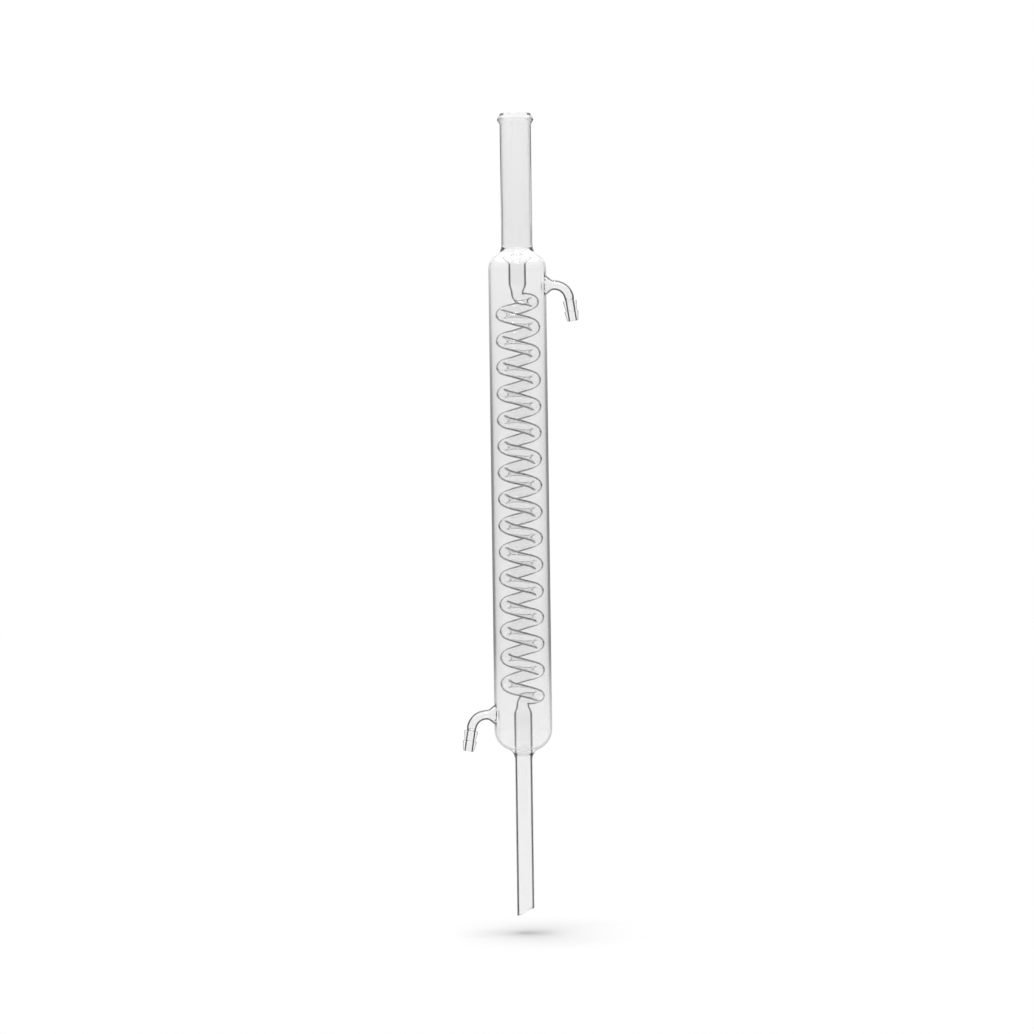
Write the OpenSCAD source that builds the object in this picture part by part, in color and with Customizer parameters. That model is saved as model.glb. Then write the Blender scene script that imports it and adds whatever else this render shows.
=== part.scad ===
// Coil condenser for a reflux set: a plain neck, a water jacket with two hose
// arms, and a wound coil inside it that runs from the neck to the drip stem.
// The whole thing is blown and fused from clear borosilicate tube, so it is
// one solid. It stands upright, with the Z axis up through the neck and the
// origin on that axis, half way between the ends of the jacket.

/* [Jacket] */
// Outer diameter of the jacket
jacket_d = 45.6; // [42:0.1:50]
// Wall of the jacket
jacket_wall = 1.8; // [1.4:0.1:2.2]
// Top of the jacket's straight wall, above the origin
jacket_top = 184.2; // [182:0.1:200]
// Bottom of the jacket's straight wall, below the origin
jacket_foot = 180.3; // [176:0.1:196]
// Radius of the shoulder at the top
shoulder_r = 11; // [9:0.1:13]
// Radius of the round bottom
bottom_r = 17; // [15:0.1:18]
// Hollow radius of the seal between shoulder and neck
neck_seal_r = 10; // [7:0.1:12]
// Hollow radius of the seal between bottom and stem
stem_seal_r = 9; // [6:0.1:11]

/* [Neck and upper tube] */
// Outer diameter of the neck
neck_d = 24.8; // [23:0.1:27]
// Wall of the neck and of the upper tube
neck_wall = 1.5; // [1.3:0.1:1.8]
// Top of the rim, above the origin
neck_top = 306.2; // [280:0.1:330]
// Widest diameter of the bead on the rim
bead_d = 28.8; // [27.6:0.1:31]
// Depth of the bead's widest ring below the top of the rim
bead_drop = 4.8; // [4:0.1:6]
// Radius in which the neck closes below its seal
funnel_r = 7; // [6:0.1:8]
// Hollow radius in which the funnel runs out into the upper tube
funnel_seal_r = 4; // [3:0.1:6]
// Outer diameter of the upper tube, between funnel and coil
upper_tube_d = 14; // [13:0.1:15]

/* [Lower tube and stem] */
// Outer diameter of the lower tube, between the coil and the jacket's bottom
lower_tube_d = 14.4; // [13.2:0.1:15]
// Outer diameter of the stem, to which the lower tube narrows in the bottom seal
stem_d = 13.6; // [13:0.1:15]
// Wall of the lower tube and of the stem
stem_wall = 1.5; // [1.2:0.1:1.8]
// Tip of the stem, below the origin
stem_tip = 327.5; // [290:0.1:350]
// Slant of the tip, in degrees from square
tip_slant = 25; // [10:1:45]

/* [Coil] */
// Outer diameter of the tube that is wound
coil_tube_d = 10; // [9:0.1:10.4]
// Wall of the wound tube
coil_wall = 1.2; // [1:0.1:1.5]
// Diameter of the coil, between the middles of its tube
coil_d = 25.4; // [24:0.1:27]
// Rise of one turn
coil_pitch = 20.85; // [16:0.05:21]
// Turns of the coil
coil_turns = 15; // [10:1:15]
// Middle of the coil, above the origin
coil_mid = 1.75; // [-4:0.05:4]
// Radius in which a straight tube narrows where the coil's tube leaves it
coil_seal_r = 8; // [7.5:0.1:10]

/* [Hose arms] */
// Height of the upper arm, above the origin
upper_arm_z = 170.3; // [160:0.1:174]
// Depth of the lower arm, below the origin
lower_arm_z = 168.5; // [160:0.1:171]
// Outer diameter of an arm
arm_d = 7.8; // [7.2:0.1:8.4]
// Bore of an arm
arm_bore = 5.2; // [4.8:0.1:5.6]
// Diameter of the flared root where it leaves the jacket
root_d = 19.8; // [14:0.1:21]
// Slope of the flare's side against the arm, in degrees
root_slope = 40; // [30:1:50]
// Hollow radius in which the flare runs out into the arm
root_r = 4; // [3:0.1:6]
// Plain length between flare and bend
arm_plain = 0.2; // [0.2:0.1:8]
// Radius of the arm's bend
arm_bend_r = 12; // [9:0.1:14]
// Angle through which the arm bends down
arm_bend = 81.5; // [60:0.5:90]
// Outer diameter of a nozzle above its barbs
nozzle_d = 7.4; // [7:0.1:7.7]
// Plain length between the bend and the barbs
nozzle_plain = 2.2; // [1:0.1:6]
// Widest diameter of a barb
barb_d = 11; // [10:0.1:12]
// Diameter to which each barb narrows
barb_foot_d = 8.6; // [8:0.1:9.4]
// Length of one barb
barb_len = 8.1; // [6:0.1:10]
// Barbs on a nozzle
barbs = 2; // [1:1:4]
// Bore of a nozzle
nozzle_bore = 4.6; // [4:0.1:4.8]

/* [Hidden] */
$fn = 64;

jacket_r = jacket_d / 2;
neck_r = neck_d / 2;
upper_tube_r = upper_tube_d / 2;
lower_tube_r = lower_tube_d / 2;
stem_r = stem_d / 2;
// Rounds of the bead and of the lip above it, and of the wide end of a barb
bead_r = 1.6;
lip_r = neck_wall / 2 + 0.05;
barb_round = 1;
// Depth of the bead's foot below its widest ring
bead_foot = 3.8;
// Radius of a straight tube's end, and how far past the end's face and past
// the curl the coil's tube runs on straight
end_r = 5.8;
end_gap = 1;
end_run = 4;
// Room inside the coil's end curls, and the most that they turn past a quarter
curl_gap = 0.1;
curl_most = 45;
// How deep a flared root starts inside the jacket's surface
root_sink = 0.4;
// How far a nozzle sits in the end of its bend
nozzle_sink = 0.3;
// How far a cut runs past what it cuts
over = 1;
// Turn from one point of a rounded outline to the next, at most
arc_step = 7;

// Drop from the end of a wide wall to the level where a hollow round of radius
// small meets a narrow wall, when a round of radius big leaves the wide wall
function seal_drop(wide, big, narrow, small) =
    sqrt(pow(small + big, 2) - pow(narrow + small - wide + big, 2));

neck_seal_z = jacket_top + seal_drop(jacket_r, shoulder_r, neck_r, neck_seal_r);
stem_seal_z = -jacket_foot - seal_drop(jacket_r, bottom_r, stem_r, stem_seal_r);
// The neck starts to close where the seal's inner side leaves it
funnel_z = neck_seal_z - sqrt(pow(neck_seal_r + jacket_wall, 2) - pow(neck_seal_r, 2));
// The lower tube starts to narrow where the bottom seal's inner side leaves it
step_h = sqrt(pow(stem_seal_r + jacket_wall, 2) - pow(stem_seal_r, 2));

// Where an arm's flare starts and ends, along the arm from the jacket's axis
flare_start = sqrt(pow(jacket_r, 2) - pow(root_d / 2, 2)) - root_sink;
flare_foot = arm_d / 2 + root_r * (1 - cos(root_slope));
flare_end = flare_start + root_r * sin(root_slope) + (root_d / 2 - flare_foot) / tan(root_slope);
nozzle_h = nozzle_plain + barbs * barb_len;

// Rolled and turned bends meet face to face where the sine and cosine of the
// angle between them are true to six figures. near_roll gives the next angle
// whose two make a true rotation, and near_turn one whose two are both short
function short(x) = let (m = pow(10, 5 - floor(log(abs(x))))) round(x * m) / m;
function misfit(a) = abs(pow(short(cos(a)), 2) + pow(short(sin(a)), 2) - 1);
function excess(a) = max(abs(short(cos(a)) - cos(a)), abs(short(sin(a)) - sin(a)));
function near_roll(a) = [for (n = [0 : 2000]) let (b = a + n / 20000) if (misfit(b) < 4e-9) b][0];
function near_turn(a) = [for (n = [0 : 9000]) let (b = a + n / 10000) if (excess(b) < 2e-8) b][0];

// The coil is a chain of quarter bends of one radius. Each lies in a plane
// tilted by coil_tilt and is rolled by coil_roll from the one before, so the
// chain winds round the axis with smooth joints, as the bent tube does
half_bend = 45;
function next_tilt(t) = asin(coil_pitch / (coil_d / 2) * (1 - cos(half_bend) * pow(sin(t), 2))
    * atan(tan(half_bend) / cos(t)) / (360 * sin(half_bend)));
function tilt_after(n) = n == 0 ? half_bend / 3 : next_tilt(tilt_after(n - 1));
coil_tilt = tilt_after(8);
bend_r = coil_d / 2 / (1 - cos(half_bend) * pow(sin(coil_tilt), 2));
bend_step = 2 * atan(tan(half_bend) / cos(coil_tilt));
coil_roll = near_roll(acos(pow(cos(coil_tilt), 2) + pow(sin(coil_tilt), 2) * cos(bend_step)));
bends = floor(360 * coil_turns / bend_step);
coil_start = (360 * coil_turns - bends * bend_step) / 2;
coil_h = bends * coil_pitch * bend_step / 360;

// At each end the tube curls in to the axis through a wide turn and a quarter
// bend of one radius, and arrives there upright. The wide turn is a quarter
// and as much more, up to curl_most, as leaves the tube room inside its curl
joint_r = bend_r * cos(coil_tilt) * norm([cos(half_bend) * cos(coil_tilt), sin(half_bend)]);
joint_slope = asin(cos(half_bend) * sin(coil_tilt));
function heading(turn) = -asin(cos(turn) / cos(joint_slope));
function curl_radius(turn) = joint_r / (cos(heading(turn)) * (tan(turn / 2) + 1));
curl_rests = [for (a = [curl_most : -1 : 1]) if (curl_radius(90 + a) > coil_tube_d / 2 + curl_gap) a];
curl_rest = near_turn(concat(curl_rests, [1])[0]);
curl_turn = 90 + curl_rest;
curl_heading = heading(curl_turn);
curl_r = curl_radius(curl_turn);
curl_roll = near_roll(coil_roll / 2 + atan(tan(curl_heading) * sin(joint_slope)));
upright_roll = near_roll(90 + asin(sin(joint_slope) / sin(curl_turn)));
curl_h = curl_r * (1 + sin(joint_slope) * tan(curl_turn / 2));
upper_tube_end = coil_mid + coil_h / 2 + curl_h + end_gap;
lower_tube_end = coil_mid - coil_h / 2 - curl_h - end_gap;

// Points along an arc round c from angle a to angle b, with or without the first
function arc(c, r, a, b, first = 0) =
    let (n = ceil(abs(b - a) / arc_step))
    [for (i = [first : n]) c + r * [cos(a + (b - a) * i / n), sin(a + (b - a) * i / n)]];

// Angle of the line that touches a circle of radius ra round a and one of
// radius rb round b on their right, on the way from a to b
function touch(a, ra, b, rb) =
    atan2(b[1] - a[1], b[0] - a[0]) - acos((ra - rb) / norm(b - a));

// The same points as seen in a mirror that lies on the line z = 0
function flipped(points) = [for (i = [len(points) - 1 : -1 : 0]) [points[i][0], -points[i][1]]];

function raised(points, z) = [for (p = points) p + [0, z]];

// Outline from the end of a wide wall down over a round and a hollow round to
// a narrow wall, with its surface set in by w
function waist(wide, big, narrow, small, w) =
    let (drop = seal_drop(wide, big, narrow, small))
    let (lean = atan2(drop, narrow + small - wide + big))
    concat(
        arc([wide - big, 0], big - w, 0, -lean),
        arc([narrow + small, -drop], small + w, 180 - lean, 180, 1)
    );

// Outline of a straight tube's lower end, from its wall in to its axis, with
// its surface set in by w and the end's face at z = 0
function closed_end(r, w) =
    let (rise = sqrt(pow(coil_seal_r, 2) - pow(end_r - r + coil_seal_r, 2)))
    let (side = coil_seal_r - w)
    concat(arc([r - coil_seal_r, rise], side, 0, -asin((rise - w) / side)), [[0, w]]);

// Body inside the jacket's surface, set in by w
module jacket_body(w) {
    rotate_extrude() polygon(concat(
        [[0, neck_seal_z]],
        raised(flipped(waist(jacket_r, shoulder_r, neck_r, neck_seal_r, w)), jacket_top),
        raised(waist(jacket_r, bottom_r, stem_r, stem_seal_r, w), -jacket_foot),
        [[0, stem_seal_z]]
    ));
}

// Body of the funnel and the upper tube with its end, set in by w, under the
// outline of a neck
module neck_body(neck_outline, w) {
    rotate_extrude() polygon(concat(
        neck_outline,
        raised(waist(neck_r, funnel_r, upper_tube_r, funnel_seal_r, w), funnel_z),
        raised(closed_end(upper_tube_r, w), upper_tube_end)
    ));
}

// Outline of the neck from its axis out over the lip, the bead and its foot
function rim() =
    let (lip = [neck_r - lip_r, neck_top - lip_r])
    let (bead = [bead_d / 2 - bead_r, neck_top - bead_drop])
    let (foot = [neck_r, bead[1] - bead_foot])
    let (high = touch(bead, bead_r, lip, lip_r), low = touch(foot, 0, bead, bead_r))
    concat([[0, lip[1]]], arc(lip, lip_r, 180, high), arc(bead, bead_r, high, low), [foot]);

// Outline of what is open in the neck, from its axis out
function mouth() = [[0, neck_top + over], [neck_r - neck_wall, neck_top + over]];

// Body of the lower tube with its end, narrowing within the bottom seal to the
// stem, set in by w, down past the tip
module stem_body(w) {
    low = -stem_tip - over;
    rotate_extrude() polygon(concat(
        raised(flipped(closed_end(lower_tube_r, w)), lower_tube_end),
        [[lower_tube_r - w, stem_seal_z + step_h], [stem_r - w, stem_seal_z + step_h / 2]],
        [[stem_r - w, low], [0, low]]
    ));
}

// What the slanted cut takes off below the tip
module tip_cut() {
    translate([-stem_r, 0, -stem_tip]) rotate([0, -tip_slant, 0])
        translate([-stem_d, -stem_d, -stem_d]) cube([4 * stem_d, 2 * stem_d, stem_d]);
}

// Bent rod of radius r and diameter d, from the X axis round towards the Y axis
module bend(r, angle, d) {
    rotate_extrude(angle = angle) translate([r, 0]) circle(d = d, $fn = 32);
}

// Quarter bend of the wound tube, hollow from end to end
module quarter_bend() {
    rotate_extrude(angle = 2 * half_bend) translate([bend_r, 0]) difference() {
        circle(d = coil_tube_d, $fn = 32);
        circle(d = coil_tube_d - 2 * coil_wall, $fn = 32);
    }
}

// Place of the coil's first quarter bend
module at_first_bend() {
    rotate([0, 0, coil_start + bend_step / 2])
        translate([coil_d / 2 - bend_r, 0, coil_mid + coil_h * (1 - 1 / bends) / 2])
            rotate([-coil_tilt, 0, 0]) rotate([0, 0, -half_bend]) children();
}

// Place of the bend that comes n bends further on
module bends_on(n) {
    if (n > 0)
        rotate([0, 0, 2 * half_bend]) translate([bend_r, 0, 0]) rotate([0, -coil_roll, 0])
            translate([-bend_r, 0, 0]) bends_on(n - 1) children();
    else
        children();
}

// The next n quarter bends, joined half by half
module winding(n) {
    half = floor(n / 2);
    if (n > 1) {
        winding(half);
        bends_on(half) winding(n - half);
    } else {
        quarter_bend();
    }
}

// Rod of diameter d that curls in from the end of a quarter bend to the axis
module curl(d) {
    translate([bend_r, 0, 0]) rotate([0, -curl_roll, 0]) translate([-curl_r, 0, 0]) {
        bend(curl_r, 90, d);
        rotate([0, 0, 90]) {
            bend(curl_r, curl_rest, d);
            rotate([0, 0, curl_rest]) translate([curl_r, 0, 0]) rotate([0, -upright_roll, 0])
                translate([-curl_r, 0, 0]) {
                    bend(curl_r, 90, d);
                    rotate([0, 0, 90]) translate([curl_r, 0, 0]) rotate([-90, 0, 0])
                        cylinder(d = d, h = end_run, $fn = 32);
                }
        }
    }
}

// The curls at both ends of the coil
module curls(d) {
    at_first_bend() rotate([180, 0, 0]) curl(d);
    at_first_bend() bends_on(bends - 1) rotate([0, 0, 2 * half_bend]) curl(d);
}

// Flared root and plain part of an arm along X, set in by w, sunk by sink more
module arm_root(w, sink) {
    r = arm_d / 2 - w;
    hollow = root_r + w;
    start = flare_end - flare_start + sink;
    wide = r + hollow * (1 - cos(root_slope)) + (start - hollow * sin(root_slope)) * tan(root_slope);
    translate([flare_end, 0, 0]) rotate([0, 90, 0]) rotate_extrude() polygon(concat(
        [[0, arm_plain], [0, -start], [wide, -start]],
        arc([r + hollow, 0], hollow, 180 + root_slope, 180),
        [[r, arm_plain]]
    ));
}

// Place of an arm's bend
module at_arm_bend() {
    translate([flare_end, 0, 0]) translate([arm_plain, 0, -arm_bend_r])
        rotate([-90, 0, 0]) rotate([0, 0, -90]) children();
}

// Place of the nozzle at the end of that bend, with the nozzle along Z
module at_nozzle() {
    at_arm_bend() rotate([0, 0, arm_bend]) translate([arm_bend_r, 0, 0]) rotate([-90, 0, 0]) children();
}

// Outline of the barb that starts at z: wide and rounded there, narrow below
function barb(z) =
    let (wide = [barb_d / 2 - barb_round, z + barb_round], foot = [barb_foot_d / 2, z + barb_len])
    concat(arc(wide, barb_round, -90, touch(wide, barb_round, foot, 0)), [foot]);

// Plain length and barbs of a nozzle
module nozzle_blank() {
    rotate_extrude() polygon(concat(
        [[0, -nozzle_sink], [nozzle_d / 2, -nozzle_sink], [nozzle_d / 2, nozzle_plain]],
        [for (i = [0 : barbs - 1]) each barb(nozzle_plain + i * barb_len)],
        [[0, nozzle_h]]
    ));
}

// One hose arm, not yet bored
module arm_blank() {
    arm_root(0, 0);
    at_arm_bend() bend(arm_bend_r, arm_bend, arm_d);
    at_nozzle() nozzle_blank();
}

// What is open inside one hose arm, from the jacket's inside to the nozzle's end
module arm_hollow() {
    arm_root((arm_d - arm_bore) / 2, jacket_wall);
    at_arm_bend() bend(arm_bend_r, arm_bend, arm_bore);
    at_nozzle() translate([0, 0, -over]) cylinder(d = nozzle_bore, h = nozzle_h + 2 * over);
}

// The upper arm's place on the right and the lower arm's on the left
module both_arms() {
    translate([0, 0, upper_arm_z]) children();
    translate([0, 0, -lower_arm_z]) rotate([0, 0, 180]) children();
}

// Jacket with its arms, open inside
module jacket_shell() {
    difference() {
        union() {
            jacket_body(0);
            both_arms() arm_blank();
        }
        jacket_body(jacket_wall);
        both_arms() arm_hollow();
    }
}

// The condenser: the jacket with the inner tubes fused in, bored from the neck
// to the coil and from the coil to the tip, and the wound tube between them
module condenser() {
    color([0.84, 0.9, 0.92, 0.5]) {
        difference() {
            union() {
                jacket_shell();
                neck_body(rim(), 0);
                stem_body(0);
                curls(coil_tube_d);
            }
            neck_body(mouth(), neck_wall);
            stem_body(stem_wall);
            curls(coil_tube_d - 2 * coil_wall);
            tip_cut();
        }
        at_first_bend() winding(bends);
    }
}

condenser();
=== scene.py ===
"""Coil condenser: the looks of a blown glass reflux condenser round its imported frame."""

import math

import bpy
from bpy.props import FloatProperty, FloatVectorProperty, IntProperty, PointerProperty
from mathutils import Matrix, Vector


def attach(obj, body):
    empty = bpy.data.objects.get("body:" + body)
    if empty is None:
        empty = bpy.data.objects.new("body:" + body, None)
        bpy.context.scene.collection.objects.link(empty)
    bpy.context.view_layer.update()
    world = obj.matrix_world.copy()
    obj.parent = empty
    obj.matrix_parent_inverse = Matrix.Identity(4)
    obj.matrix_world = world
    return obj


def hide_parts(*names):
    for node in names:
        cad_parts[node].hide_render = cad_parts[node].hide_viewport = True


bl_info = {
    "name": "Coil condenser",
    "version": (1, 0, 0),
    "blender": (4, 5, 0),
    "location": "3D View > Sidebar > Condenser",
    "description": "Models a laboratory coil condenser in clear glass on a white table",
    "category": "Object",
}

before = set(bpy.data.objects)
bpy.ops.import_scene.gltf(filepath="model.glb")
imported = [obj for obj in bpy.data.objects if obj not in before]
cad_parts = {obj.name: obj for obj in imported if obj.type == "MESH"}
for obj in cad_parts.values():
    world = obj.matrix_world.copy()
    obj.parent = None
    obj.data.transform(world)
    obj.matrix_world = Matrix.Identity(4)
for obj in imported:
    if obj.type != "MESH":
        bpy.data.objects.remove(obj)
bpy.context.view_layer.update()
MM = 0.001

# Fineness of the meshes
MERGE = 0.002 * MM
LAST_MERGE = 0.004 * MM
TUBE_SEGMENTS = 28
ARM_SEGMENTS = 40
ARM_BORE_SEGMENTS = 32
SMOOTH_DEGREES = 35
ROOT_REACH = 11 * MM
NOZZLE_PLAIN = 2.2 * MM
BARBS = 2
PAST_END = 5 * MM

# Light
TABLE_RADIUS = 8.0
TABLE_DIMS_FROM, TABLE_DIMS_TO = 1.5, 7.0
TABLE_GLOW, TABLE_GREY = 0.2, 0.8
BAND_WHOLE, BAND_ENDS = 0.02, 0.09
RING_BEGINS, RING_WHOLE = 0.5, 0.6
SKY_ON_MATT = 0.4
LAMP_HEIGHT, LAMP_TIP, LAMP_ROLL, LAMP_ANGLE, LAMP_ENERGY = 1.9, 4.5, -1.3, 11, 0.95

# Each finish of the glass, with the names of its tints in the Glass panel: the glass itself, whose
# # grey is painted shade, the painted dark reflection that its wall mirrors inside, and its
# painted dark outline
GLASS_IOR = 1.473
GROUND_ROUGHNESS = 0.5
FINISHES = {
    "neck_glass": ("jacket", None, None),
    "jacket_glass": ("jacket", None, "jacket_painted_outline"),
    "jacket_inside_glass": ("jacket", "jacket_painted_reflection", None),
    "seal_glass": ("tubes", None, None),
    "tube_glass": ("tubes", None, None),
    "tube_bore_glass": ("tubes", "tube_painted_reflection", None),
    "coil_bore_glass": ("tubes", "coil_painted_reflection", None),
    "neck_bore_glass": ("neck", "neck_painted_reflection", None),
    "stem_glass": ("stem", None, None),
    "stem_bore_glass": ("stem", "stem_painted_reflection", None),
    "arm_glass": ("arms", None, "arm_painted_outline"),
    "arm_bore_glass": ("arms", "arm_painted_reflection", None),
    "ground_glass": ("ground", None, None),
}
# How nearly edge on the painted dark outline begins and is full, and the share of light mirrored
# at which the painted dark reflection of the wall's inside begins and is full
PAINTED_OUTLINES = {"jacket_glass": (0.7, 0.84), "arm_glass": (0.46, 0.62)}
PART_MIRRORED, ALL_MIRRORED = 0.6, 0.95


# Properties

def length(name, description, millimetres):
    """A size property, stored in metres."""
    return FloatProperty(
        name=name, description=description, default=millimetres * MM, unit="LENGTH", precision=5)


class CondenserJacket(bpy.types.PropertyGroup):
    radius: length("Radius", "Outer radius of the jacket", 22.8)
    wall: length("Wall", "Wall of the jacket", 1.8)
    top: length("Top", "Top of the straight wall above the origin", 184.2)
    foot: length("Foot", "Bottom of the straight wall below the origin", 180.3)
    shoulder: length("Shoulder", "Radius of the round shoulder", 11)
    bottom: length("Bottom", "Radius of the round bottom", 17)
    neck_seal: length("Neck seal", "Hollow radius between shoulder and neck", 10)
    stem_seal: length("Stem seal", "Hollow radius between bottom and stem", 9)
    steps: IntProperty(name="Steps", description="Segments round the jacket", default=96, min=24)


class CondenserTubes(bpy.types.PropertyGroup):
    neck_radius: length("Neck radius", "Outer radius of the neck", 12.4)
    neck_top: length("Neck top", "Top of the rim above the origin", 306.2)
    bead_radius: length("Bead radius", "Widest radius of the rim's bead", 14.4)
    bead_drop: length("Bead drop", "Depth of the bead's widest ring below the top", 4.8)
    wall: length("Wall", "Wall of the neck, the straight tubes and the stem", 1.5)
    upper_radius: length("Upper tube radius", "Outer radius of the tube above the coil", 7)
    lower_radius: length("Lower tube radius", "Outer radius of the tube below the coil", 7.2)
    stem_radius: length("Stem radius", "Outer radius of the stem below the jacket", 6.8)
    funnel: length("Funnel", "Radius in which the neck closes below its seal", 7)
    funnel_seal: length("Funnel seal", "Hollow radius below the funnel", 4)
    stem_tip: length("Stem tip", "Tip of the stem below the origin", 327.5)
    tip_slant: FloatProperty(
        name="Tip slant", description="Slant of the tip from square",
        default=math.radians(25), subtype="ANGLE")


class CondenserCoil(bpy.types.PropertyGroup):
    tube_radius: length("Tube radius", "Outer radius of the wound tube", 5)
    wall: length("Wall", "Wall of the wound tube", 1.2)
    coil_radius: length("Coil radius", "Radius of the coil to the middle of its tube", 12.7)
    pitch: length("Pitch", "Rise of one turn", 20.85)
    middle: length("Middle", "Middle of the coil above the origin", 1.75)
    turns: IntProperty(name="Turns", description="Turns of the coil", default=15, min=1)
    narrowing: length("Narrowing", "Length in which a straight tube narrows to the coil", 7)
    curl_turn: FloatProperty(
        name="Curl turn", description="Wide turn with which the tube curls in at each end",
        default=math.radians(135.085), subtype="ANGLE")


class CondenserArms(bpy.types.PropertyGroup):
    upper: length("Upper arm", "Height of the upper arm above the origin", 170.3)
    lower: length("Lower arm", "Depth of the lower arm below the origin", 168.5)
    radius: length("Radius", "Outer radius of an arm", 3.9)
    bore: length("Bore", "Radius of an arm's bore", 2.6)
    root_radius: length("Root radius", "Radius of the flared root", 9.9)
    root_slope: FloatProperty(
        name="Root slope", description="Slope of the flare's side against the arm",
        default=math.radians(40), subtype="ANGLE")
    flare: length("Flare", "Hollow radius in which the flare runs out", 4)
    plain: length("Plain", "Straight length between flare and bend", 0.2)
    bend: length("Bend", "Radius of the bend", 12)
    bend_turn: FloatProperty(
        name="Bend turn", description="Angle through which an arm bends down",
        default=math.radians(81.5), subtype="ANGLE")
    nozzle_radius: length("Nozzle radius", "Outer radius above the barbs", 3.7)
    barb_radius: length("Barb radius", "Widest radius of a barb", 5.5)
    barb_foot: length("Barb foot", "Radius to which a barb narrows", 4.3)
    barb_length: length("Barb length", "Length of one barb", 8.1)
    nozzle_bore: length("Nozzle bore", "Radius of the nozzle's bore", 2.3)


def tint(name, description, grey):
    """A colour property, which starts as a neutral grey."""
    return FloatVectorProperty(
        name=name, description=description, default=(grey, grey, grey), subtype="COLOR",
        min=0, max=1)


class CondenserGlass(bpy.types.PropertyGroup):
    # The grey of the jacket, neck, stem, arm and tube tints is painted shade: clear glass darkened
    # in place of the dim room it shows
    jacket: tint("Jacket", "Tint of the jacket, and of the neck outside", 0.925)
    neck: tint("Neck", "Tint inside the neck", 0.885)
    stem: tint("Stem", "Tint of the stem", 0.925)
    arms: tint("Arms", "Tint of the hose arms", 0.92)
    tubes: tint("Tubes", "Tint of the tubes inside the jacket", 0.99)
    ground: tint("Ground end", "Tint of the ground end of the stem", 0.6)
    # Painted shade: each wall's inside mirrors these dark tints, which draw the dark lines of the
    # tubes
    jacket_painted_reflection: tint("Jacket line", "What the jacket's wall mirrors inside", 0.7)
    neck_painted_reflection: tint("Neck line", "What the neck's wall mirrors inside", 0.8)
    tube_painted_reflection: tint("Tube line", "What a straight tube's wall mirrors inside", 0.2)
    coil_painted_reflection: tint("Coil line", "What the coil's wall mirrors inside", 0.25)
    stem_painted_reflection: tint("Stem line", "What the stem's wall mirrors inside", 0.1)
    arm_painted_reflection: tint("Arm line", "What an arm's wall mirrors inside", 0.1)
    # Painted shade: the outlines darken the glass where it is seen edge on
    jacket_painted_outline: tint("Jacket rim", "Tint of the jacket's thin outline", 0.3)
    arm_painted_outline: tint("Arm rim", "Tint of an arm's thin outline", 0.1)


class CondenserStage(bpy.types.PropertyGroup):
    floor_drop: length("Floor drop", "Depth of the table below the origin", 341.3)
    distance: length("Distance", "Distance of the camera", 2900)
    frame_width: length("Frame width", "Width that the picture takes in at the condenser", 817)
    aside: length("Aside", "Place of the axis right of the picture's middle", 2.6)
    above: length("Above", "Place of the origin above the picture's middle", 12.6)
    surround: FloatProperty(
        name="Surround", description="How far the room at eye level is from white",
        default=0.6, min=0, max=1)
    ring: FloatProperty(
        name="Ring", description="Strength of the soft light high up that gloss shows",
        default=3.0, min=0)
    lean: FloatProperty(
        name="Lean", description="Lean of the condenser to the left in the picture",
        default=math.radians(0.78), subtype="ANGLE")


# Outlines, as lists of (radius, height)

def arc(centre, radius, start, end, step=6.0):
    """Points along an arc, with angles in degrees."""
    count = max(1, math.ceil(abs(end - start) / step))
    turns = [math.radians(start + (end - start) * i / count) for i in range(count + 1)]
    return [(centre[0] + radius * math.cos(t), centre[1] + radius * math.sin(t)) for t in turns]


def seal_drop(wide, big, narrow, small):
    """Height between a wide wall's end and a narrow wall's, over a round and a hollow round."""
    return math.sqrt((small + big) ** 2 - (narrow + small - wide + big) ** 2)


def waist(wide, big, narrow, small, inset=0.0):
    """Outline down from a wide wall over a round and a hollow round to a narrow wall."""
    drop = seal_drop(wide, big, narrow, small)
    lean = math.degrees(math.atan2(drop, narrow + small - wide + big))
    return (arc((wide - big, 0.0), big - inset, 0, -lean)
            + arc((narrow + small, -drop), small + inset, 180 - lean, 180)[1:])


def raised(points, height):
    """An outline moved up."""
    return [(r, z + height) for r, z in points]


def flipped(points):
    """An outline turned upside down."""
    return [(r, -z) for r, z in reversed(points)]


def radius_on(outline, height):
    """Radius of a falling outline at a height."""
    for (r0, z0), (r1, z1) in zip(outline, outline[1:]):
        if z0 >= height >= z1 and z0 > z1:
            return r0 + (r1 - r0) * (z0 - height) / (z0 - z1)
    return outline[0][0] if height > outline[0][1] else outline[-1][0]


def touch(a, ra, b, rb):
    """Angle in degrees of the line that touches two rounds on their right."""
    across = math.hypot(b[0] - a[0], b[1] - a[1])
    return math.degrees(math.atan2(b[1] - a[1], b[0] - a[0]) - math.acos((ra - rb) / across))


# Modelling tools

def deselect():
    if bpy.context.object and bpy.context.object.mode != "OBJECT":
        bpy.ops.object.mode_set(mode="OBJECT")
    bpy.ops.object.select_all(action="DESELECT")


def pick(*objects):
    deselect()
    for piece in objects:
        piece.select_set(True)
    bpy.context.view_layer.objects.active = objects[0]


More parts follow.
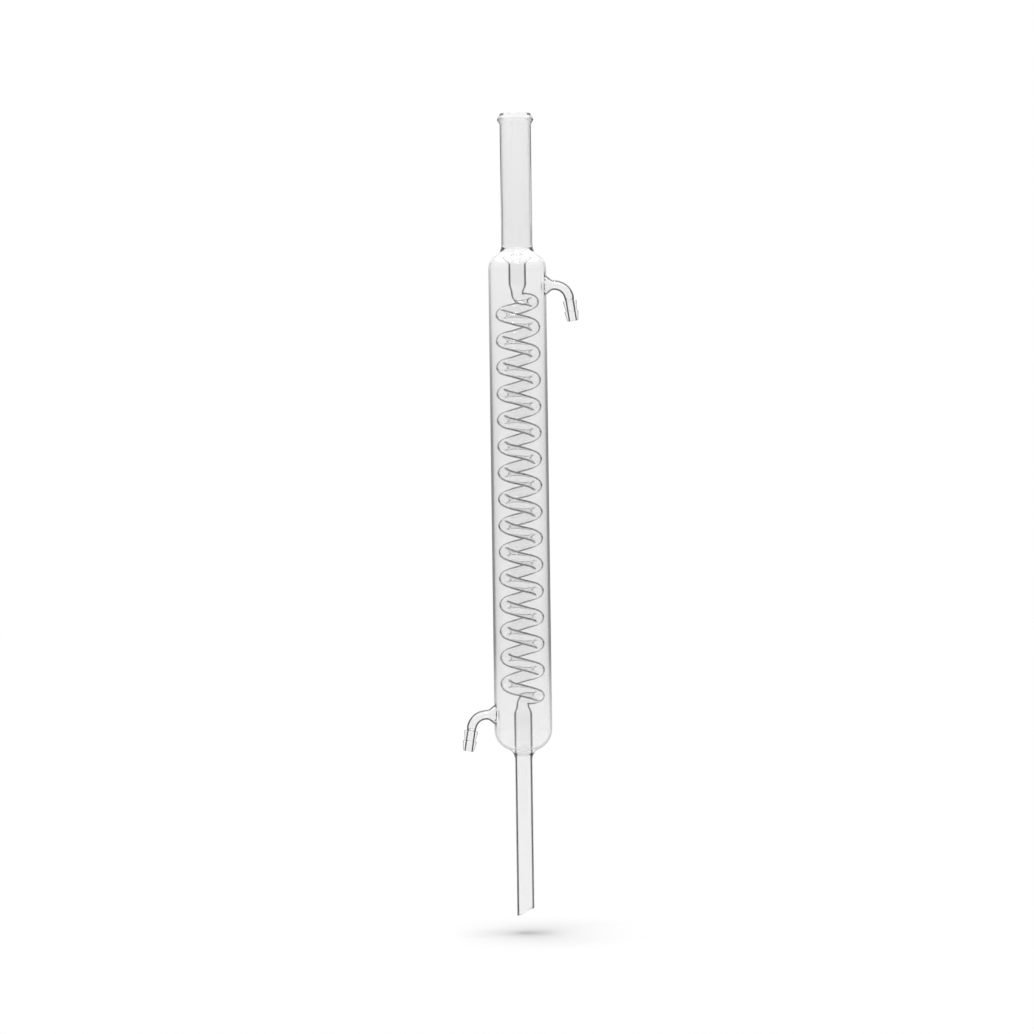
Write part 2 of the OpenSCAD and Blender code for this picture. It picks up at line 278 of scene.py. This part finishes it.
def turned(name, outline, steps):
    """A solid of revolution: the outline is drawn point by point and spun round the axis."""
    deselect()
    bpy.ops.mesh.primitive_plane_add(size=MM)
    piece = bpy.context.object
    piece.name = piece.data.name = name
    bpy.ops.object.mode_set(mode="EDIT")
    bpy.ops.mesh.select_all(action="SELECT")
    bpy.ops.mesh.merge(type="CENTER")
    bpy.ops.transform.translate(value=(outline[0][0], 0, outline[0][1]))
    for (r0, z0), (r1, z1) in zip(outline, outline[1:]):
        bpy.ops.mesh.extrude_region_move(
            TRANSFORM_OT_translate={"value": (r1 - r0, 0, z1 - z0)})
    bpy.ops.mesh.select_all(action="SELECT")
    bpy.ops.mesh.spin(
        steps=steps, angle=2 * math.pi, center=(0, 0, 0), axis=(0, 0, 1), use_normal_flip=False)
    bpy.ops.mesh.select_all(action="SELECT")
    bpy.ops.mesh.remove_doubles(threshold=MERGE)
    bpy.ops.mesh.normals_make_consistent(inside=False)
    bpy.ops.object.mode_set(mode="OBJECT")
    return piece


def drawn(name, stations, around):
    """A solid rod along a path, from stations of a place and a radius there."""
    deselect()
    bpy.ops.curve.primitive_bezier_curve_add()
    piece = bpy.context.object
    piece.name = piece.data.name = name
    path = piece.data
    path.splines.clear()
    line = path.splines.new("POLY")
    line.points.add(len(stations) - 1)
    for point, (place, radius) in zip(line.points, stations):
        point.co = (place[0], place[1], place[2], 1.0)
        point.radius = radius / MM
    path.dimensions = "3D"
    path.twist_mode = "MINIMUM"
    path.bevel_mode = "ROUND"
    path.bevel_depth = MM
    path.bevel_resolution = (around - 4) // 2
    path.use_fill_caps = True
    bpy.ops.object.convert(target="MESH")
    piece = bpy.context.object
    bpy.ops.object.mode_set(mode="EDIT")
    bpy.ops.mesh.select_all(action="SELECT")
    bpy.ops.mesh.remove_doubles(threshold=MERGE)
    bpy.ops.mesh.normals_make_consistent(inside=False)
    bpy.ops.object.mode_set(mode="OBJECT")
    return piece


def coated(piece, finish):
    """Gives a piece one finish of the glass."""
    piece.data.materials.clear()
    piece.data.materials.append(glass(finish))
    return piece


def combined(piece, other, operation):
    """Fuses another solid to a piece or cuts it out of it, and removes the other. Each wall
    keeps the finish of the solid that it comes from."""
    pick(piece)
    cut = piece.modifiers.new(other.name, "BOOLEAN")
    cut.operation = operation
    cut.solver = "EXACT"
    cut.material_mode = "TRANSFER"
    cut.object = other
    bpy.ops.object.modifier_apply(modifier=cut.name)
    pick(other)
    bpy.ops.object.delete()
    return piece


# Middle lines of the wound tube and the arms

def turn(degrees, axis):
    return Matrix.Rotation(math.radians(degrees), 4, axis)


def shift(x, y=0.0, z=0.0):
    return Matrix.Translation(Vector((x, y, z)))


def coil_path(coil):
    """Middle line of the coil with the curls at its ends, from the top down. It is a chain of
    quarter bends, each tilted and rolled against the one before it so that they keep the pitch."""
    radius, pitch = coil.coil_radius, coil.pitch
    half = math.radians(45)
    tilt = half / 3
    for _ in range(8):
        share = 1 - math.cos(half) * math.sin(tilt) ** 2
        swing = math.atan(1 / math.cos(tilt)) / (2 * math.pi * math.sin(half))
        tilt = math.asin(pitch / radius * share * swing)
    bend = radius / (1 - math.cos(half) * math.sin(tilt) ** 2)
    step = 2 * math.atan(1 / math.cos(tilt))
    roll = math.acos(math.cos(tilt) ** 2 + math.sin(tilt) ** 2 * math.cos(step))
    count = math.floor(2 * math.pi * coil.turns / step)
    height = count * pitch * step / (2 * math.pi)
    start = (2 * math.pi * coil.turns - count * step) / 2
    reach = bend * math.cos(half) * math.cos(tilt) * math.sqrt(1 + math.cos(tilt) ** 2)
    slope = math.asin(math.sin(half) * math.sin(tilt))
    wide = coil.curl_turn
    heading = -math.asin(math.cos(wide) / math.cos(slope))
    curl = reach / (math.cos(heading) * (math.tan(wide / 2) + 1))
    curl_roll = roll / 2 + math.atan(math.tan(heading) * math.sin(slope))
    upright = math.radians(90) + math.asin(math.sin(slope) / math.sin(wide))

    first = (turn(math.degrees(start + step / 2), "Z")
             @ shift(radius - bend, 0, coil.middle + height * (1 - 1 / count) / 2)
             @ turn(-math.degrees(tilt), "X") @ turn(-45, "Z"))
    onward = turn(90, "Z") @ shift(bend) @ turn(-math.degrees(roll), "Y") @ shift(-bend)

    def along(place, size, angle, steps):
        turns = [angle * i / steps for i in range(steps + 1)]
        return [place @ Vector((size * math.cos(t), size * math.sin(t), 0)) for t in turns]

    def curled(place):
        """From the end of a bend in to the axis, where the tube stands upright."""
        one = place @ shift(bend) @ turn(-math.degrees(curl_roll), "Y") @ shift(-curl)
        two = (one @ turn(math.degrees(wide), "Z") @ shift(curl)
               @ turn(-math.degrees(upright), "Y") @ shift(-curl))
        return along(one, curl, wide, 18)[1:] + along(two, curl, math.radians(90), 14)[1:]

    line = list(reversed(curled(first @ turn(180, "X"))))
    place = first
    line.append(place @ Vector((bend, 0, 0)))
    for _ in range(count):
        line += along(place, bend, math.radians(90), 10)[1:]
        place = place @ onward
    last = place @ onward.inverted() @ turn(90, "Z")
    return line + curled(last)


def eased(share):
    """A share from 0 to 1 with a soft start and end."""
    return share * share * (3 - 2 * share)


def tube_stations(coil, tubes, neck_outline, top, seal, low, inset_tube, inset_coil):
    """Stations of the whole inner tube from the neck through the coil to the stem."""
    line = coil_path(coil)
    wide, slim = tubes.upper_radius - inset_tube, coil.tube_radius - inset_coil
    lower, stem = tubes.lower_radius - inset_tube, tubes.stem_radius - inset_tube
    heights = sorted({top} | {z for _, z in neck_outline if z < top}, reverse=True)
    stations = [((0, 0, z), radius_on(neck_outline, z)) for z in heights]
    first, last = line[0], line[-1]
    steps = 9
    for i in range(steps):
        share = i / steps
        z = first.z + coil.narrowing * (1 - share)
        stations.append(((first.x * eased(share), first.y * eased(share), z),
                         wide + (slim - wide) * eased(share)))
    stations += [(tuple(p), slim) for p in line]
    for i in range(1, steps + 1):
        share = i / steps
        z = last.z - coil.narrowing * share
        stations.append(((last.x * (1 - eased(share)), last.y * (1 - eased(share)), z),
                         slim + (lower - slim) * eased(share)))
    stations += [((0, 0, seal + 6 * MM), lower), ((0, 0, seal + 3 * MM), stem),
                 ((0, 0, low), stem)]
    return stations


# Materials

class Wire:
    """A node's socket, on which Python's arithmetic adds Math nodes."""

    def __init__(self, tree, socket):
        self.tree = tree
        self.socket = socket

    def maths(self, operation, *values):
        return add(self.tree, "ShaderNodeMath", {"operation": operation}, list(enumerate(values)))

    def __add__(self, other):
        return self.maths("ADD", self, other)

    __radd__ = __add__

    def __mul__(self, other):
        return self.maths("MULTIPLY", self, other)

    __rmul__ = __mul__

    def __sub__(self, other):
        return self.maths("SUBTRACT", self, other)

    def __rsub__(self, other):
        return self.maths("SUBTRACT", other, self)

    def larger(self, other):
        return self.maths("MAXIMUM", self, other)

    def above(self, limit):
        return self.maths("GREATER_THAN", self, limit)


def add(tree, kind, settings=None, inputs=(), output=0):
    """Adds a node, sets it up, fills or links its sockets and gives one output."""
    node = tree.nodes.new(kind)
    for key, value in (settings or {}).items():
        setattr(node, key, value)
    for key, value in inputs:
        if isinstance(value, Wire):
            tree.links.new(value.socket, node.inputs[key])
        else:
            node.inputs[key].default_value = value
    return Wire(tree, node.outputs[output]) if node.outputs else None


def empty_tree(owner):
    """The node tree of a material or a world, with no nodes in it."""
    owner.use_nodes = True
    owner.node_tree.nodes.clear()
    return owner.node_tree


def eased_rise(tree, value, start, end):
    """Rises smoothly from none at one value to one at another."""
    return add(tree, "ShaderNodeMapRange", {"interpolation_type": "SMOOTHSTEP"},
               [(0, value), (1, start), (2, end), (3, 0.0), (4, 1.0)])


def mixed(tree, factor, a, b):
    """Mixes two colours."""
    return add(tree, "ShaderNodeMix", {"data_type": "RGBA"},
               [(0, factor), (6, (*a, 1.0)), (7, (*b, 1.0))], output=2)


def glass(name):
    """One of the finishes of the glass, made when it is first asked for. Its grey tint is painted
    shade. Where the inside of a wall mirrors all the light, which draws the dark lines of a glass
    tube, it mirrors a dark tint, painted shade in place of the room. The outside of the jacket and
    the arms has a painted dark outline, where it is seen nearly edge on."""
    if name in bpy.data.materials:
        return bpy.data.materials[name]
    tints = bpy.context.scene.condenser_glass
    clear, line, rim = (tuple(getattr(tints, key)) if key else None for key in FINISHES[name])
    material = bpy.data.materials.new(name)
    tree = empty_tree(material)
    # Painted shade: the grey tint darkens the clear glass
    color = (*clear, 1.0)
    # Painted shade: the colour darkens to the outline's tint where the surface is seen edge on
    if rim:
        edge_on = add(tree, "ShaderNodeLayerWeight", {}, [("Blend", 0.5)], output=1)
        color = mixed(tree, eased_rise(tree, edge_on, *PAINTED_OUTLINES[name]), clear, rim)
    shader = add(tree, "ShaderNodeBsdfPrincipled", {}, [
        ("Base Color", color), ("IOR", GLASS_IOR), ("Transmission Weight", 1.0),
        ("Roughness", GROUND_ROUGHNESS if name == "ground_glass" else 0.0)])
    # Painted shade: where the wall's inside mirrors nearly all light, it mirrors a dark tint
    # instead of the room
    if line:
        share = add(tree, "ShaderNodeFresnel", {}, [("IOR", GLASS_IOR)])
        mirror = add(tree, "ShaderNodeBsdfAnisotropic", {}, [
            ("Color", (*line, 1.0)), ("Roughness", 0.0)])
        shader = add(tree, "ShaderNodeMixShader", {}, [
            (0, eased_rise(tree, share, PART_MIRRORED, ALL_MIRRORED)), (1, shader), (2, mirror)])
    add(tree, "ShaderNodeOutputMaterial", {}, [("Surface", shader)])
    return material


def ray_kinds(tree):
    """Wires that tell what kind of ray looks: the camera's or one through glass, one off gloss,
    and one through glass that was mirrored inside a wall on its way."""
    camera = add(tree, "ShaderNodeLightPath", {}, [], output=0)
    path = camera.socket.node
    through = Wire(tree, path.outputs["Is Transmission Ray"])
    mirrored = Wire(tree, path.outputs["Glossy Depth"]).above(0.5) * through
    return camera.larger(through), Wire(tree, path.outputs["Is Glossy Ray"]), mirrored


def table_white(stage):
    """The table's white. Far out, what the glass mirrors of it is as dim as the room."""
    material = bpy.data.materials.new("white_table")
    tree = empty_tree(material)
    seen, glossy, mirrored = ray_kinds(tree)
    place = add(tree, "ShaderNodeTexCoord", {}, [], output=3)
    across = add(tree, "ShaderNodeVectorMath", {"operation": "LENGTH"}, [(0, place)], output=1)
    far = eased_rise(tree, across, TABLE_DIMS_FROM, TABLE_DIMS_TO)
    dim = mirrored.larger(glossy * (1 - seen)) * far * stage.surround
    shine = mixed(tree, seen.larger(glossy) * (1 - dim), (0.0, 0.0, 0.0), (1.0, 1.0, 1.0))
    glow = add(tree, "ShaderNodeEmission", {}, [("Color", shine), ("Strength", TABLE_GLOW)])
    white = mixed(tree, dim, (TABLE_GREY, TABLE_GREY, TABLE_GREY), (0.0, 0.0, 0.0))
    lit = add(tree, "ShaderNodeBsdfDiffuse", {}, [("Color", white)])
    both = add(tree, "ShaderNodeAddShader", {}, [(0, glow), (1, lit)])
    add(tree, "ShaderNodeOutputMaterial", {}, [("Surface", both)])
    return material


def studio_light(world, stage):
    """White all round, but for a dimmer band of the room at eye level, which the glass mirrors."""
    tree = empty_tree(world)
    white, glossy, mirrored = ray_kinds(tree)
    direction = add(tree, "ShaderNodeTexCoord", {}, [], output=0)
    height = add(tree, "ShaderNodeSeparateXYZ", {}, [(0, direction)], output=2)
    band = (1 - eased_rise(tree, height, BAND_WHOLE, BAND_ENDS)) * stage.surround
    ring = eased_rise(tree, height, RING_BEGINS, RING_WHOLE) * stage.ring
    soft = SKY_ON_MATT * (1 - glossy) + (1 - band + ring) * glossy
    sky = add(tree, "ShaderNodeBackground", {}, [
        ("Color", (1, 1, 1, 1)),
        ("Strength", white * (1 - mirrored * band) + (1 - white) * soft)])
    add(tree, "ShaderNodeOutputWorld", {}, [("Surface", sky)])


# Parts of the glass

def jacket_outline(scene, inset=0.0):
    """Outline of the jacket from the neck's seal to the stem's, or of the water space, with the
    wall as the inset. It has rings above and below each arm's root."""
    jacket, tubes, arms = scene.condenser_jacket, scene.condenser_tubes, scene.condenser_arms
    shoulder = raised(flipped(waist(
        jacket.radius, jacket.shoulder, tubes.neck_radius, jacket.neck_seal, inset)), jacket.top)
    bottom = raised(waist(
        jacket.radius, jacket.bottom, tubes.stem_radius, jacket.stem_seal, inset), -jacket.foot)
    rings = [middle + side * ROOT_REACH for middle in (arms.upper, -arms.lower)
             for side in (1, -1)]
    wall = [(jacket.radius - inset, z) for z in sorted(rings, reverse=True)
            if -jacket.foot < z < jacket.top]
    return shoulder + wall + bottom


def placed_arms(scene):
    """Name, height and side of each arm."""
    arms = scene.condenser_arms
    return [("upper_arm", arms.upper, 1), ("lower_arm", -arms.lower, -1)]


def arm_stations(scene, inset, height, side):
    """Stations of a hose arm, or of its bore, from inside the jacket's wall to the nozzle's
    end. An inset draws the bore."""
    arms, jacket = scene.condenser_arms, scene.condenser_jacket
    slope = arms.root_slope
    sunk = 0.4 * MM
    start = math.sqrt(jacket.radius ** 2 - arms.root_radius ** 2) - sunk
    foot = arms.radius + arms.flare * (1 - math.cos(slope))
    end = start + arms.flare * math.sin(slope) + (arms.root_radius - foot) / math.tan(slope)
    radius, hollow = arms.radius - inset, arms.flare + inset
    begin = start - (jacket.wall if inset else 0)
    foot = radius + hollow * (1 - math.cos(slope))
    reach = end - begin - hollow * math.sin(slope)
    stations = [((begin, 0, 0), foot + reach * math.tan(slope))]
    flare_steps, bend_steps = 8, 16
    for i in range(flare_steps + 1):
        t = slope * (1 - i / flare_steps)
        stations.append(((end - hollow * math.sin(t), 0, 0),
                         radius + hollow * (1 - math.cos(t))))
    bend_x = end + arms.plain
    for i in range(bend_steps + 1):
        t = arms.bend_turn * i / bend_steps
        stations.append(((bend_x + arms.bend * math.sin(t), 0,
                          -arms.bend + arms.bend * math.cos(t)), radius))
    tip = Vector(stations[-1][0])
    down = Vector((math.cos(arms.bend_turn), 0, -math.sin(arms.bend_turn)))
    outline = nozzle_bore(arms) if inset else nozzle_outline(arms)
    stations += [(tuple(tip + down * z), r) for z, r in outline]
    return [((side * x, y, z + height), r) for (x, y, z), r in stations]


def nozzle_bore(arms):
    """Bore of a nozzle, as (length, radius) from the end of the bend."""
    end = NOZZLE_PLAIN + BARBS * arms.barb_length + MM
    return [(0.4 * MM, arms.nozzle_bore), (end, arms.nozzle_bore)]


def nozzle_outline(arms):
    """Outline of a nozzle and its barbs, as (length, radius) from the end of the bend."""
    rounding, sharp = MM, 0.02 * MM
    outline = [(0.3 * MM, arms.nozzle_radius), (NOZZLE_PLAIN - sharp, arms.nozzle_radius)]
    for i in range(BARBS):
        top = NOZZLE_PLAIN + i * arms.barb_length
        centre = (arms.barb_radius - rounding, top + rounding)
        foot = (arms.barb_foot, top + arms.barb_length)
        lean = touch(centre, rounding, foot, 0)
        outline += [(z, r) for r, z in arc(centre, rounding, -90, lean, 15)]
        outline.append((foot[1] - (0 if i == BARBS - 1 else sharp), foot[0]))
    return outline


def finish_by_height(body, scene):
    """Gives the walls that pass through several parts of the glass a finish in each. Of each
    wall's zones, from the top down with their lowest heights, a face takes the first it is in."""
    jacket, coil = scene.condenser_jacket, scene.condenser_coil
    for name in ("neck_glass", "stem_glass", "seal_glass", "neck_bore_glass",
                 "coil_bore_glass", "stem_bore_glass"):
        body.data.materials.append(glass(name))
    names = [material.name for material in body.data.materials]
    shoulder = jacket.top - 1 * MM
    seal, seal_top = jacket.top + 3.3 * MM, jacket.top + 20 * MM
    coil_top = coil.middle + coil.pitch * coil.turns / 2 + 10 * MM
    coil_foot = coil.middle - coil.pitch * coil.turns / 2 - 3 * MM
    foot, low = -jacket.foot - 18 * MM, -math.inf
    zones = {
        "jacket_glass": [
            (shoulder, "neck_glass"), (foot, "jacket_glass"), (low, "stem_glass")],
        "jacket_inside_glass": [(seal, "seal_glass")],
        "tube_glass": [(seal, "seal_glass")],
        "tube_bore_glass": [
            (seal_top, "neck_bore_glass"), (seal, "seal_glass"),
            (coil_top, "tube_bore_glass"), (coil_foot, "coil_bore_glass"),
            (foot, "tube_bore_glass"), (low, "stem_bore_glass")],
    }
    for face in body.data.polygons:
        for lowest, finish in zones.get(names[face.material_index], ()):
            if face.center.z > lowest:
                face.material_index = names.index(finish)
                break


# Operators

class CONDENSER_OT_body(bpy.types.Operator):
    """Turn the outer body: rim, neck, shoulder, jacket, round bottom and stem"""

    bl_idname = "condenser.body"
    bl_label = "Outer body"

    def execute(self, context):
        scene = context.scene
        tubes = scene.condenser_tubes
        lip_round, bead_round, bead_foot = tubes.wall / 2 + 0.05 * MM, 1.6 * MM, 3.8 * MM
        lip = (tubes.neck_radius - lip_round, tubes.neck_top - lip_round)
        bead = (tubes.bead_radius - bead_round, tubes.neck_top - tubes.bead_drop)
        foot = (tubes.neck_radius, bead[1] - bead_foot)
        high = touch(bead, bead_round, lip, lip_round)
        low = touch(foot, 0, bead, bead_round)
        rim = ([(0, lip[1])] + arc(lip, lip_round, 180, high, 15)
               + arc(bead, bead_round, high, low, 10) + [foot])
        end = -tubes.stem_tip - PAST_END
        body = turned("condenser_body", rim + jacket_outline(scene)
                      + [(tubes.stem_radius, end), (0, end)], scene.condenser_jacket.steps)
        coated(body, "jacket_glass")
        return {"FINISHED"}


class CONDENSER_OT_arms(bpy.types.Operator):
    """Fuse the two flared, bent and barbed hose arms to the body"""

    bl_idname = "condenser.arms"
    bl_label = "Hose arms"

    def execute(self, context):
        body = bpy.data.objects["condenser_body"]
        for name, height, side in placed_arms(context.scene):
            arm = drawn(name, arm_stations(context.scene, 0.0, height, side), ARM_SEGMENTS)
            combined(body, coated(arm, "arm_glass"), "UNION")
        return {"FINISHED"}


class CONDENSER_OT_inside(bpy.types.Operator):
    """Hollow the body out round the wound tube, and bore the tube from rim to tip"""

    bl_idname = "condenser.inside"
    bl_label = "Water space and bores"

    def execute(self, context):
        scene = context.scene
        jacket, tubes, coil = scene.condenser_jacket, scene.condenser_tubes, scene.condenser_coil
        body = bpy.data.objects["condenser_body"]
        neck_seal = jacket.top + seal_drop(
            jacket.radius, jacket.shoulder, tubes.neck_radius, jacket.neck_seal)
        stem_seal = -jacket.foot - seal_drop(
            jacket.radius, jacket.bottom, tubes.stem_radius, jacket.stem_seal)
        funnel = neck_seal - math.sqrt(
            (jacket.neck_seal + jacket.wall) ** 2 - jacket.neck_seal ** 2)

        def stations(top, low, tube_wall, coil_wall):
            """Stations of the wound tube, or of its bore, with the walls as insets."""
            closing = raised(waist(
                tubes.neck_radius, tubes.funnel, tubes.upper_radius, tubes.funnel_seal,
                tube_wall), funnel)
            return tube_stations(
                coil, tubes, closing, top, stem_seal, low, tube_wall, coil_wall)

        water = turned(
            "water_space",
            [(0, neck_seal)] + jacket_outline(scene, jacket.wall) + [(0, stem_seal)],
            jacket.steps)
        wound = drawn(
            "wound_tube", stations(neck_seal + 6 * MM, stem_seal - 8 * MM, 0.0, 0.0),
            TUBE_SEGMENTS)
        coated(water, "jacket_inside_glass")
        combined(water, coated(wound, "tube_glass"), "DIFFERENCE")
        combined(body, water, "DIFFERENCE")
        top, low = tubes.neck_top + PAST_END, -tubes.stem_tip - 9 * MM
        bore = drawn("bore", stations(top, low, tubes.wall, coil.wall), TUBE_SEGMENTS)
        combined(body, coated(bore, "tube_bore_glass"), "DIFFERENCE")
        inset = scene.condenser_arms.radius - scene.condenser_arms.bore
        for name, height, side in placed_arms(scene):
            arm = drawn(
                name + "_bore", arm_stations(scene, inset, height, side), ARM_BORE_SEGMENTS)
            combined(body, coated(arm, "arm_bore_glass"), "DIFFERENCE")
        return {"FINISHED"}


class CONDENSER_OT_finish(bpy.types.Operator):
    """Cut the stem's tip on the slant, smooth the glass and give each wall its finish"""

    bl_idname = "condenser.finish"
    bl_label = "Tip and finish"

    def execute(self, context):
        scene = context.scene
        tubes = scene.condenser_tubes
        body = bpy.data.objects["condenser_body"]
        pick(body)
        slant = tubes.tip_slant
        bpy.ops.object.mode_set(mode="EDIT")
        bpy.ops.mesh.select_all(action="SELECT")
        bpy.ops.mesh.bisect(
            plane_co=(-tubes.stem_radius, 0, -tubes.stem_tip),
            plane_no=(-math.sin(slant), 0, math.cos(slant)),
            use_fill=True, clear_inner=True, clear_outer=False, threshold=1e-6)
        body.data.materials.append(glass("ground_glass"))
        body.active_material_index = len(body.data.materials) - 1
        bpy.ops.object.material_slot_assign()
        bpy.ops.mesh.select_all(action="SELECT")
        bpy.ops.mesh.remove_doubles(threshold=LAST_MERGE)
        bpy.ops.object.mode_set(mode="OBJECT")
        bpy.ops.object.shade_smooth_by_angle(angle=math.radians(SMOOTH_DEGREES))
        body.name = body.data.name = "condenser_glass"
        finish_by_height(body, scene)
        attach(body, "root")
        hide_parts("condenser")
        return {"FINISHED"}


class CONDENSER_OT_stage(bpy.types.Operator):
    """Set up the white table, the soft light and the camera"""

    bl_idname = "condenser.stage"
    bl_label = "Stage"

    def execute(self, context):
        scene = context.scene
        stage = scene.condenser_stage
        deselect()
        bpy.ops.mesh.primitive_circle_add(
            vertices=128, radius=TABLE_RADIUS, fill_type="NGON",
            location=(0, 0, -stage.floor_drop))
        table = context.object
        table.name = table.data.name = "table"
        bpy.ops.object.transform_apply(location=True)
        table.data.materials.append(table_white(stage))

        for name, tip in (("front", LAMP_TIP), ("back", -LAMP_TIP)):
            bpy.ops.object.light_add(
                type="SUN", location=(0.0, 0.0, LAMP_HEIGHT),
                rotation=(math.radians(tip), math.radians(LAMP_ROLL), 0.0))
            lamp = context.object
            lamp.name = "overhead_" + name
            lamp.data.angle = math.radians(LAMP_ANGLE)
            lamp.data.energy = LAMP_ENERGY

        world = scene.world or bpy.data.worlds.new("studio")
        scene.world = world
        studio_light(world, stage)

        deselect()
        bpy.ops.object.camera_add()
        camera = context.object
        camera.name = "camera"
        right = Vector((math.cos(stage.lean), 0, -math.sin(stage.lean)))
        up = Vector((math.sin(stage.lean), 0, math.cos(stage.lean)))
        place = -stage.aside * right - stage.above * up - Vector((0, stage.distance, 0))
        columns = Matrix((right, up, Vector((0, -1, 0)))).transposed().to_4x4()
        camera.matrix_world = Matrix.Translation(place) @ columns
        camera.data.sensor_fit = "HORIZONTAL"
        camera.data.angle = 2 * math.atan(stage.frame_width / 2 / stage.distance)
        camera.data.clip_start = 0.05
        camera.data.clip_end = 50
        scene.camera = camera
        scene.view_settings.view_transform = "Standard"
        return {"FINISHED"}


class CONDENSER_PT_sidebar(bpy.types.Panel):
    """The sizes and steps of the condenser"""

    bl_idname = "CONDENSER_PT_sidebar"
    bl_label = "Condenser"
    bl_space_type = "VIEW_3D"
    bl_region_type = "UI"
    bl_category = "Condenser"

    def draw(self, context):
        for name, (group, label) in GROUPS.items():
            box = self.layout.box()
            box.label(text=label)
            for key in group.__annotations__:
                box.prop(getattr(context.scene, name), key)
        for operator in OPERATORS:
            self.layout.operator(operator.bl_idname)


# Registration

GROUPS = {
    "condenser_jacket": (CondenserJacket, "Jacket"),
    "condenser_tubes": (CondenserTubes, "Neck and stem"),
    "condenser_coil": (CondenserCoil, "Coil"),
    "condenser_arms": (CondenserArms, "Hose arms"),
    "condenser_glass": (CondenserGlass, "Glass"),
    "condenser_stage": (CondenserStage, "Stage"),
}
OPERATORS = (
    CONDENSER_OT_body, CONDENSER_OT_arms, CONDENSER_OT_inside, CONDENSER_OT_finish,
    CONDENSER_OT_stage,
)


def register():
    for name, (group, label) in GROUPS.items():
        bpy.utils.register_class(group)
        setattr(bpy.types.Scene, name, PointerProperty(type=group, name=label))
    for operator in OPERATORS:
        bpy.utils.register_class(operator)
    bpy.utils.register_class(CONDENSER_PT_sidebar)


def unregister():
    bpy.utils.unregister_class(CONDENSER_PT_sidebar)
    for operator in reversed(OPERATORS):
        bpy.utils.unregister_class(operator)
    for name, (group, _) in GROUPS.items():
        delattr(bpy.types.Scene, name)
        bpy.utils.unregister_class(group)


def main():
    """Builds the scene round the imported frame."""
    register()
    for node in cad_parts.values():
        node.select_set(False)
    bpy.ops.condenser.body()
    bpy.ops.condenser.arms()
    bpy.ops.condenser.inside()
    bpy.ops.condenser.finish()
    bpy.ops.condenser.stage()


if __name__ == "__main__":
    main()
